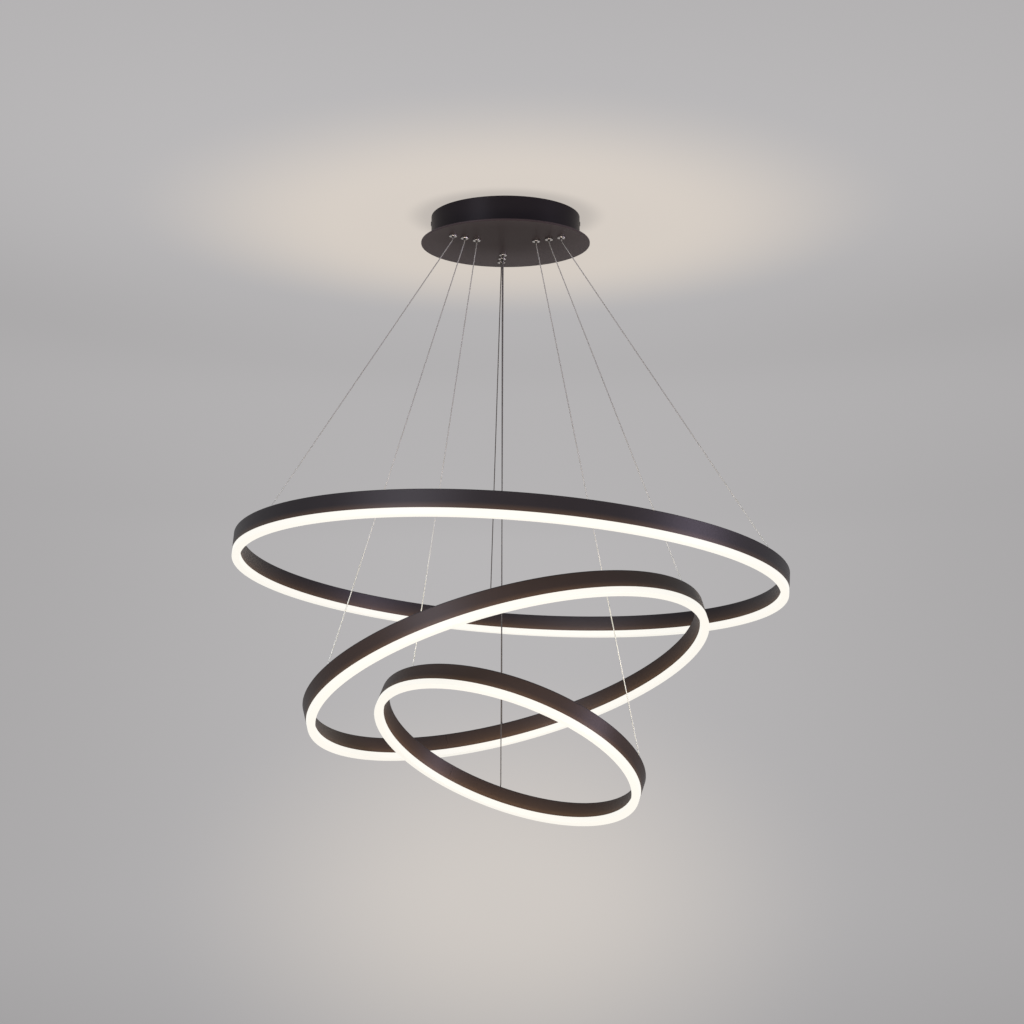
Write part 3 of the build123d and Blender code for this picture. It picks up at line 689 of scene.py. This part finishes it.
def travel(joint_name):
    """How far a joint slides, from rest to its upper limit."""
    return next(joint for joint in frame["joints"] if joint["name"] == joint_name)["range_m"][1]


def place_on(piece, body, node, finish):
    """Sets a finished piece in its node's place, on the node's body, with its finish."""
    finish.cover(piece)
    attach(piece, body)
    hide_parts(node)


# Rings

def ring_channel(ring):
    """The rolled channel's section carried from one side of its joint round to the other, with the
    closed chamber over its web, its two cut ends and its drilled holes."""
    outer, inner = SECTION_WIDTH / 2, SECTION_WIDTH / 2 - CHANNEL_WALL
    roof = CHANNEL_TOP - CHANNEL_WALL
    skin = rounded([
        (-outer, CHANNEL_BOTTOM, FINE_EDGE), (-outer, CHANNEL_TOP, CHANNEL_EDGE),
        (outer, CHANNEL_TOP, CHANNEL_EDGE), (outer, CHANNEL_BOTTOM, FINE_EDGE),
        (inner, CHANNEL_BOTTOM, FINE_EDGE), (inner, WEB_BOTTOM, FINE_EDGE),
        (-inner, WEB_BOTTOM, FINE_EDGE), (-inner, CHANNEL_BOTTOM, FINE_EDGE)])
    web_top = WEB_BOTTOM + CHANNEL_WALL
    chamber = rounded([(-inner, web_top, FINE_EDGE), (-inner, roof, FINE_EDGE),
                       (inner, roof, FINE_EDGE), (inner, web_top, FINE_EDGE)], CHAMBER_EDGE_STEPS)
    half_gap = math.degrees(JOINT_GAP / ring.middle) / 2
    joint = JOINT_AZIMUTHS[ring.number]
    azimuths = np.linspace(joint + half_gap, joint + 360 - half_gap, RING_STEPS)
    shape = Shape()
    skin_grid = ring.carried(skin + (ring.middle, 0), azimuths)
    chamber_grid = ring.carried(chamber + (ring.middle, 0), azimuths)
    around = shape.surface(skin_grid, closed_columns=True, flip=True)
    hollow = shape.surface(chamber_grid, closed_columns=True)
    for row, side in ((0, -1), (-1, 1)):
        away = ring.point(azimuths[row] + 90 * side, 1) - ring.centre
        shape.lid([around[row], hollow[row]], away)
    anchors = ANCHOR_AZIMUTHS[ring.number]
    drillings = [(azimuth, ANCHOR_HOLE_RADIUS, roof, CHANNEL_TOP) for azimuth in anchors]
    drillings += [(azimuth, SCREW_CLEARANCE_RADIUS, roof, CHANNEL_TOP)
                  for azimuth in ring.screw_azimuths()]
    drillings.append((anchors[SIDES.index("back")], LEAD_HOLE_RADIUS, WEB_BOTTOM, web_top))
    holes = Shape()
    for azimuth, radius, low, high in drillings:
        bar = Turning(ring.point(azimuth, ring.middle), ring.up)
        holes.rod(bar, radius, low - CUT_MARGIN, high + CUT_MARGIN)
    piece = drilled(shape.piece(f"{ring.name}_rolled_channel"), holes)
    place_on(piece, ring.name, f"{ring.name}_channel", ring_coat(ring))


def ring_diffuser(ring):
    """The opal trough's section carried all the way round, its legs up inside the channel."""
    outer, leg = DIFFUSER_WIDTH / 2, SECTION_WIDTH / 2 - CHANNEL_WALL - LEG_CLEARANCE
    cavity = DIFFUSER_CAVITY / 2
    leg_top = CHANNEL_BOTTOM + DIFFUSER_LEG
    half = [(cavity, DIFFUSER_FLOOR, FINE_EDGE), (cavity, leg_top, FINE_EDGE),
            (leg, leg_top, FINE_EDGE), (leg, CHANNEL_BOTTOM, FINE_EDGE),
            (outer, CHANNEL_BOTTOM, FINE_EDGE), (outer, 0, DIFFUSER_EDGE)]
    other_half = [(-across, up, rounding) for across, up, rounding in half[::-1]]
    shape = Shape()
    shape.turned(ring, rounded(half + other_half) + (ring.middle, 0), RING_STEPS, flip=True)
    piece = shape.piece(f"{ring.name}_opal_trough")
    place_on(piece, ring.name, f"{ring.name}_diffuser", opal(ring))


# Canopy

def canopy_drum(finish):
    """The drum's wall and inner flange turned about the Z axis, notched and drilled."""
    flange_top = DRUM_BOTTOM + DRUM_WALL
    flange = DRUM_RADIUS - FLANGE_WIDTH
    inside = DRUM_RADIUS - DRUM_WALL
    section = rounded([
        (flange, DRUM_BOTTOM, FINE_EDGE), (DRUM_RADIUS, DRUM_BOTTOM, DRUM_EDGE),
        (DRUM_RADIUS, 0, DRUM_EDGE), (inside, 0, DRUM_EDGE),
        (inside, flange_top, FINE_EDGE), (flange, flange_top, FINE_EDGE)])
    shape = Shape()
    shape.turned(CANOPY, section, TURNED_STEPS)
    holes = Shape()
    low, high = DRUM_BOTTOM - CUT_MARGIN, flange_top + CUT_MARGIN
    for azimuth in GRIPPER_AZIMUTHS:
        outermost = Turning(CANOPY.point(azimuth, GRIPPER_CIRCLES[0]))
        holes.rod(outermost, FLANGE_NOTCH_RADIUS, low, high)
    for azimuth in STUD_AZIMUTHS:
        holes.rod(Turning(CANOPY.point(azimuth, STUD_CIRCLE)), SCREW_CLEARANCE_RADIUS, low, high)
    for side in (-1, 1):
        through = Turning((0, 0, SIDE_SCREW_Z), (side, 0, 0))
        holes.rod(through, SCREW_CLEARANCE_RADIUS, inside - CUT_MARGIN, DRUM_RADIUS + CUT_MARGIN)
    piece = drilled(shape.piece("turned_drum"), holes)
    place_on(piece, "canopy", "canopy_drum", finish)


def canopy_plate(finish):
    """The plate turned about the Z axis, with a rounded rim and drilled for the grippers."""
    rim = rounded([(0, PLATE_BOTTOM, FINE_EDGE), (PLATE_RADIUS, PLATE_BOTTOM, PLATE_EDGE),
                   (PLATE_RADIUS, DRUM_BOTTOM, PLATE_EDGE), (0, DRUM_BOTTOM, FINE_EDGE)])
    rim = rim[rim[:, 0] > PLATE_RADIUS - 2 * PLATE_EDGE]
    profile = [(PLATE_LID_RADIUS, PLATE_BOTTOM), *rim, (PLATE_LID_RADIUS, DRUM_BOTTOM)]
    shape = Shape()
    numbers = shape.turned_open(CANOPY, profile, TURNED_STEPS)
    shape.lid([numbers[:, 0]], -CANOPY.up)
    shape.lid([numbers[:, -1]], CANOPY.up)
    holes = Shape()
    low, high = PLATE_BOTTOM - CUT_MARGIN, DRUM_BOTTOM + CUT_MARGIN
    for azimuth in GRIPPER_AZIMUTHS:
        for circle in GRIPPER_CIRCLES:
            holes.rod(Turning(CANOPY.point(azimuth, circle)), GRIPPER_HOLE_RADIUS, low, high)
    piece = drilled(shape.piece("turned_plate"), holes)
    place_on(piece, "canopy", "canopy_plate", finish)


def plate_studs(finish):
    """The studs welded on the plate: a circle of them for the drum, and a pair at each driver."""
    studs = [CANOPY.point(azimuth, STUD_CIRCLE) for azimuth in STUD_AZIMUTHS]
    for azimuth in DRIVER_AZIMUTHS:
        driver = Turning(CANOPY.point(azimuth, DRIVER_CIRCLE))
        studs += [driver.point(azimuth + side, DRIVER_STUD_OFFSET) for side in (-90, 90)]
    shape = Shape()
    for stud in studs:
        shape.rod(Turning(stud), STUD_RADIUS, DRUM_BOTTOM - STUD_ROOT, DRUM_BOTTOM + STUD_HEIGHT)
    piece = shape.piece("plate_studs")
    finish.cover(piece)
    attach(piece, "canopy")


# Wire grippers

def gripper_section(outline):
    """Outline of a turned fitting, with fine edges where no other rounding is given."""
    corners = [(*corner, FINE_EDGE) if len(corner) == 2 else corner for corner in outline]
    return rounded(corners, FITTING_EDGE_STEPS, FITTING_SUPPORT)


def barrel_section(bore):
    """The barrel's outline: its head with the lip, the shank, and the spring's chamber inside."""
    return gripper_section([
        (LIP_RADIUS, HEAD_BOTTOM), (HEAD_RADIUS, HEAD_BOTTOM, HEAD_EDGE), (HEAD_RADIUS, PLATE_BOTTOM),
        (SHANK_RADIUS, PLATE_BOTTOM), (SHANK_RADIUS, SHANK_TOP), (bore, SHANK_TOP),
        (bore, CHAMBER_TOP), (CHAMBER_RADIUS, CHAMBER_TOP), (CHAMBER_RADIUS, LIP_TOP),
        (LIP_RADIUS, LIP_TOP)])


def plunger_section(bore):
    """The plunger's outline: its neck, pressed from below, and its head above the barrel's lip."""
    return gripper_section([
        (bore, PLUNGER_BOTTOM), (PLUNGER_NECK_RADIUS, PLUNGER_BOTTOM, PLUNGER_EDGE),
        (PLUNGER_NECK_RADIUS, PLUNGER_SHOULDER), (PLUNGER_HEAD_RADIUS, PLUNGER_SHOULDER),
        (PLUNGER_HEAD_RADIUS, PLUNGER_TOP), (bore, PLUNGER_TOP)])


def gripper_spring(name, joint, x, y, finish):
    """Return spring: a helix about the barrel's axis from the plunger's head to the chamber's top."""
    low = PLUNGER_TOP + SPRING_WIRE / 2 + SPRING_GAP
    high = CHAMBER_TOP - SPRING_WIRE / 2 - SPRING_GAP
    share = np.linspace(0, 1, SPRING_STEPS)
    turns, heights = 360 * SPRING_TURNS * share, low + (high - low) * share
    helix = Turning((x, y, 0)).points(turns, SPRING_RADIUS, heights)
    piece = tube(name, helix, length_along(helix), SPRING_WIRE, sides=SPRING_SIDES, reference=(0, 0, 1))
    place_on(piece, "canopy", "gripper_springs", finish)
    1 - travel(joint) / (CHAMBER_TOP - PLUNGER_TOP)
    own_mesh(piece)


def grippers(barrel_finish, plunger_finish, spring_finish):
    """Nine turned barrels with their spring chambers, nine release plungers in their mouths and nine
    springs above them."""
    barrels = Shape()
    for ring in RINGS:
        for side, azimuth in zip(SIDES, GRIPPER_AZIMUTHS):
            bore = LEAD_BORE_RADIUS if side == "back" else WIRE_BORE_RADIUS
            x, y, _ = CANOPY.point(azimuth, GRIPPER_CIRCLES[ring.number])
            axis = Turning((x, y, 0))
            barrels.turned(axis, barrel_section(bore), FITTING_STEPS)
            plunger = Shape()
            plunger.turned(axis, plunger_section(bore), FITTING_STEPS)
            node = f"{ring.name}_plunger_{side}"
            place_on(plunger.piece(f"{node}_turned"), node, node, plunger_finish)
            release = f"{ring.name}_release_{side}"
            gripper_spring(f"{ring.name}_spring_{side}", release, x, y, spring_finish)
    piece = barrels.piece("turned_barrels")
    place_on(piece, "canopy", "gripper_barrels", barrel_finish)


# Suspension

def route(ring, index, diameter):
    """The wire's control points: up in the gripper, the corners under it and over the ring's anchor,
    each with a point on either side, and the foot inside the ring."""
    x, y, _ = CANOPY.point(GRIPPER_AZIMUTHS[index], GRIPPER_CIRCLES[ring.number])
    corner = Vector((x, y, PLUNGER_BOTTOM - MOUTH_STANDOFF))
    azimuth = ANCHOR_AZIMUTHS[ring.number][index]
    mouth = ring.point(azimuth, ring.middle, ANCHOR_TOP + MOUTH_STANDOFF)
    foot = ring.point(azimuth, ring.middle, WIRE_FOOT)
    reach = CORNER_DIAMETERS * diameter
    along = (mouth - corner).normalized() * reach
    return [Vector((x, y, TAIL_TOP)), corner + Vector((0, 0, reach)), corner, corner + along,
            mouth - along, mouth, foot]


def smooth_line(points):
    """Places along the NURBS spline that has the points as its control points."""
    curve = bpy.data.curves.new("line", "CURVE")
    curve.dimensions = "3D"
    curve.resolution_u = SPLINE_RESOLUTION
    spline = curve.splines.new("NURBS")
    spline.points.add(len(points) - 1)
    for target, point in zip(spline.points, points):
        target.co = (*point, 1.0)
    spline.order_u = SPLINE_ORDER
    spline.use_endpoint_u = True
    line = bpy.data.objects.new("line", curve)
    bpy.context.scene.collection.objects.link(line)
    bpy.context.view_layer.update()
    mesh = bpy.data.meshes.new_from_object(line)
    places = np.array([vertex.co for vertex in mesh.vertices])
    bpy.data.objects.remove(line)
    return places


def evenly(places, step):
    """The line's places, with more put in so that none are much further apart than the step, less
    those too close to the one before, and the length travelled to each."""
    travelled = length_along(places)
    count = math.ceil(travelled[-1] / step)
    wanted = np.unique(np.concatenate([travelled, np.linspace(0, travelled[-1], count + 1)]))
    wanted = wanted[np.concatenate([[True], np.diff(wanted) > step * LEAST_STEP_SHARE])]
    parts = [np.interp(wanted, travelled, places[:, axis]) for axis in range(3)]
    return np.stack(parts, axis=1), wanted


def suspend(ring, index, finish):
    """One wire or power lead, from up in its gripper down over its ring's anchor."""
    lead = SIDES[index] == "back"
    diameter = LEAD_DIAMETER if lead else WIRE_DIAMETER
    node = f"{ring.name}_power_lead" if lead else f"{ring.name}_wire_{SIDES[index]}"
    points = route(ring, index, diameter)
    tail, mouth = points[0], points[-2]
    places, travelled = evenly(smooth_line(points), LEAD_STEP if lead else WIRE_STEP)
    piece = tube(f"{node}_line", places, travelled, diameter, 0 if lead else WIRE_STRANDS)
    place_on(piece, "canopy", node, finish)
    lift = f"{ring.name}_lift"
    1 - travel(lift) / (SQUASH_HEIGHT - mouth.z)
    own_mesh(piece)


def set_camera():
    """The photograph's viewpoint: turned by the yaw, up by the pitch and over by the roll."""
    camera = bpy.data.cameras.new("camera")
    camera.lens = CAMERA_LENS
    camera.sensor_width = CAMERA_SENSOR
    holder = bpy.data.objects.new("camera", camera)
    turn = Matrix.Rotation(math.radians(-CAMERA_YAW), 4, "Z")
    lean = Matrix.Rotation(math.radians(90 + CAMERA_PITCH), 4, "X")
    roll = Matrix.Rotation(math.radians(CAMERA_ROLL), 4, "Z")
    holder.matrix_world = Matrix.Translation(CAMERA_PLACE) @ turn @ lean @ roll
    bpy.context.scene.collection.objects.link(holder)
    bpy.context.scene.camera = holder


set_camera()
wire_finish = stranded_steel("steel_strands")
lead_finish = moulded("grey_sheath", (0.050, 0.047, 0.045), rough=0.36)
for ring in RINGS:
    for index, side in enumerate(SIDES):
        suspend(ring, index, lead_finish if side == "back" else wire_finish)

nickel = plated("bright_nickel", (0.56, 0.54, 0.52), rough=0.18, turned=0.4)
# Painted shade: the plungers' nickel, a much darker copy of the barrels' nickel
dull_nickel = plated("dull_nickel", (0.12, 0.115, 0.11), rough=0.34, turned=0.4)
zinc = plated("zinc_plate", (0.58, 0.58, 0.57), rough=0.30, turned=0.2)
black_steel = plated("black_oxide", (0.045, 0.044, 0.046), rough=0.38, turned=0.2)
spring_steel = plated("spring_steel", (0.45, 0.45, 0.46), rough=0.28, turned=0.2)
NODE_FINISHES = {
    "bracket_steel": zinc,
    "zinc_screws": zinc,
    "black_screws": black_steel,
    "nickel_fittings": nickel,
    "driver_case": moulded("white_case", (0.72, 0.72, 0.70), rough=0.45),
    "block_plastic": moulded("cream_block", (0.74, 0.72, 0.66), rough=0.35),
    "cable_sheath": moulded("black_sheath", (0.012, 0.012, 0.0125), rough=0.42),
    "led_board": moulded("white_board", (0.70, 0.70, 0.67), rough=0.30),
    "plain_aluminium": plated("bare_aluminium", (0.68, 0.68, 0.69), rough=0.34, turned=0.5),
    "black_anchors": black_steel,
    "anchor_steel": zinc,
}
for part in frame["record"]["subparts"]:
    if part["material_slot"] in NODE_FINISHES:
        NODE_FINISHES[part["material_slot"]].cover(frame["nodes"][part["node"]])

canopy_drum(powder_coat("drum_coat", DRUM_COAT, DRUM_GLOSS))
# The plate's coat, with painted light from the rings below
canopy_plate(powder_coat("plate_coat", PLATE_PAINTED_LIT_COAT, PLATE_GLOSS, (PLATE_PAINTED_LIGHT, plate_painted_light_share)))
plate_studs(zinc)
grippers(nickel, dull_nickel, spring_steel)
for ring in RINGS:
    ring_channel(ring)
    ring_diffuser(ring)


# Room and light

# Colours of the room's grey, of the painted halo of light on its ceiling and of the painted glow of light on its
# far wall
NEUTRAL = (1.0, 0.977, 0.987)
PAINTED_HALO_LIGHT = (0.19, 0.142, 0.080)
PAINTED_WALL_GLOW = (0.145, 0.118, 0.080)
HALO_CENTRE = (0.01, 0.04, 0.0)
GLOW_CENTRE = (0.0, 0.0, -1.32)
GLOW_WIDTH = 1.25
GLOW_HEIGHT = 0.85

# How light the grey is, and what each share adds to it as painted light or takes from it as painted shade
GREY = 0.402
NEAR_PALING = 0.040
FAR_PALING = 0.058
WALL_PALING = 0.020
LEFT_PALING = 0.012
HALO_PALING = 0.068
LOW_SHADE = 0.055
CONTACT_SHADE = 0.09
CONTACT_COOLING = 0.3

# Where each share is 0 and where it is 1. First X, Y and Z
LEFT_PART = (0.2, -0.6)
NEAR_PART = (0.7, -0.8)
FAR_PART = (0.2, 1.5)
GLOWING_WALL = (1.0, 2.0)
WALL = (0.0, -0.12)
LOW_PART = (-1.25, -1.95)
# Then the distance from the middle plane, the Z axis, the halo's centre and the glow's centre
MIDDLE_STRIP = (2.0, 0.1)
CONTACT_SHADOW = (0.155, 0.112)
WIDE_HALO = (1.15, 0.30)
HALO = (0.60, 0.24)
GLOW = (1.0, 0.10)
# Then the wall's own share
CEILING = (0.5, 0.1)

ROOM_LIGHT = (0.42, 0.41, 0.415, 1.0)

# Each lamp's name, place, height of the point on the Z axis that it faces, width, watts and colour
LAMPS = (
    ("key", (-1.75, -2.1, 0.45), -0.6, 0.9, 38, (0.90, 0.85, 1.0)),
    ("right", (2.75, -0.9, -0.1), -0.6, 0.75, 28, (0.88, 0.74, 1.0)),
    ("fill", (2.0, -2.2, -1.2), -0.6, 1.8, 10, (1.0, 0.95, 0.92)),
    ("back", (0.6, 2.6, 0.6), -0.6, 1.6, 12, (1.0, 0.82, 0.62)),
    ("below", (0, -1.0, -1.3), -0.8, 0.8, 18, (1.0, 0.82, 0.68)),
)


def room_colour(finish):
    """Colour of the room by place, with light and shade painted on. The grey has painted light on the near
    ceiling, down the middle of the far wall and round the canopy, painted shade low down, and a painted contact
    shadow where the canopy meets the ceiling. A painted warm halo of light lies on the ceiling round the canopy
    and a painted warm glow of light low on the far wall."""
    x, y, z = finish.axes()
    from_middle = finish.distance(stretch=(1.0, 0.0, 0.0))
    from_axis = finish.distance(stretch=(1.0, 1.0, 0.0))
    from_halo = finish.distance(HALO_CENTRE, (1.0, 1.0, 0.0))
    from_glow = finish.distance(GLOW_CENTRE, (1 / GLOW_WIDTH, 0.0, 1 / GLOW_HEIGHT))
    near, far, wall = y.rise(*NEAR_PART), y.rise(*FAR_PART), z.rise(*WALL)
    middle = from_middle.rise(*MIDDLE_STRIP)
    contact_shadow = from_axis.rise(*CONTACT_SHADOW)
    # Painted light and painted shade on the room's grey
    tone = GREY + near * NEAR_PALING + middle * far * FAR_PALING + middle * wall * WALL_PALING
    tone = tone + near * x.rise(*LEFT_PART) * LEFT_PALING - z.rise(*LOW_PART) * LOW_SHADE
    tone = tone + from_halo.rise(*WIDE_HALO) * wall.rise(*CEILING) * HALO_PALING
    # Painted contact shadow where the canopy meets the ceiling
    tone = tone - contact_shadow * CONTACT_SHADE
    halo = from_halo.rise(*HALO) * (1 - contact_shadow * CONTACT_COOLING)
    # Painted glow of light low on the far wall
    glow = from_glow.rise(*GLOW) * y.rise(*GLOWING_WALL)
    colour = finish.vectors("ADD", tone.spread(NEUTRAL), halo.spread(PAINTED_HALO_LIGHT))
    return finish.vectors("ADD", colour, glow.spread(PAINTED_WALL_GLOW))


def room_paint():
    """Paint that glows by itself with the room's colour and its painted light and shade, and is clear from outside
    the shell.
    """
    finish = Finish("room_paint")
    light = finish.node("ShaderNodeEmission", None, {"Color": room_colour(finish)})
    clear = finish.node("ShaderNodeBsdfTransparent")
    outside = finish.node("ShaderNodeNewGeometry", out="Backfacing")
    return finish.shown(finish.node("ShaderNodeMixShader", None, {0: outside, 1: light, 2: clear}))


def room_shell():
    """Ceiling, cove and wall: a profile turned about the Z axis, seen from inside alone."""
    turn = np.radians(np.linspace(90, 0, COVE_STEPS + 1))
    cove = np.stack([ROOM_RADIUS - COVE_RADIUS + COVE_RADIUS * np.cos(turn),
                     CEILING_GAP - COVE_RADIUS + COVE_RADIUS * np.sin(turn)], axis=1)
    ceiling = [(CEILING_HUB, CEILING_GAP), (CEILING_STEP, CEILING_GAP)]
    profile = [*ceiling, *cove, (ROOM_RADIUS, WALL_BOTTOM)]
    shape = Shape()
    numbers = shape.turned_open(CANOPY, profile, TURNED_STEPS)
    shape.lid([numbers[:, 0]], -CANOPY.up)
    shell = shape.piece("room")
    room_paint().cover(shell)
    shell.visible_diffuse = False
    shell.visible_shadow = False


def floor():
    """Plain pale floor, a round sheet."""
    shape = Shape()
    profile = [(FLOOR_HUB, FLOOR_HEIGHT), (ROOM_RADIUS, FLOOR_HEIGHT)]
    numbers = shape.turned_open(CANOPY, profile, FLOOR_STEPS, flip=True)
    shape.lid([numbers[:, 0]], CANOPY.up)
    sheet = shape.piece("floor")
    moulded("pale_floor", (0.44, 0.43, 0.435), rough=0.7).cover(sheet)


def area_lamp(name, place, target, width, watts, colour):
    """Soft square lamp that faces a point."""
    lamp = bpy.data.lights.new(name, "AREA")
    lamp.size = width
    lamp.energy = watts
    lamp.color = colour
    holder = bpy.data.objects.new(name, lamp)
    holder.location = place
    holder.rotation_mode = "QUATERNION"
    holder.rotation_quaternion = (Vector(target) - Vector(place)).to_track_quat("-Z", "Y")
    bpy.context.scene.collection.objects.link(holder)


room_shell()
floor()
for name, place, faced, width, watts, colour in LAMPS:
    area_lamp(name, place, (0, 0, faced), width, watts, colour)

bpy.context.scene.view_settings.view_transform = "Standard"

world = bpy.data.worlds.new("room_light")
bpy.context.scene.world = world
world.use_nodes = True
background = world.node_tree.nodes["Background"]
background.inputs["Color"].default_value = ROOM_LIGHT
background.inputs["Strength"].default_value = 1.0
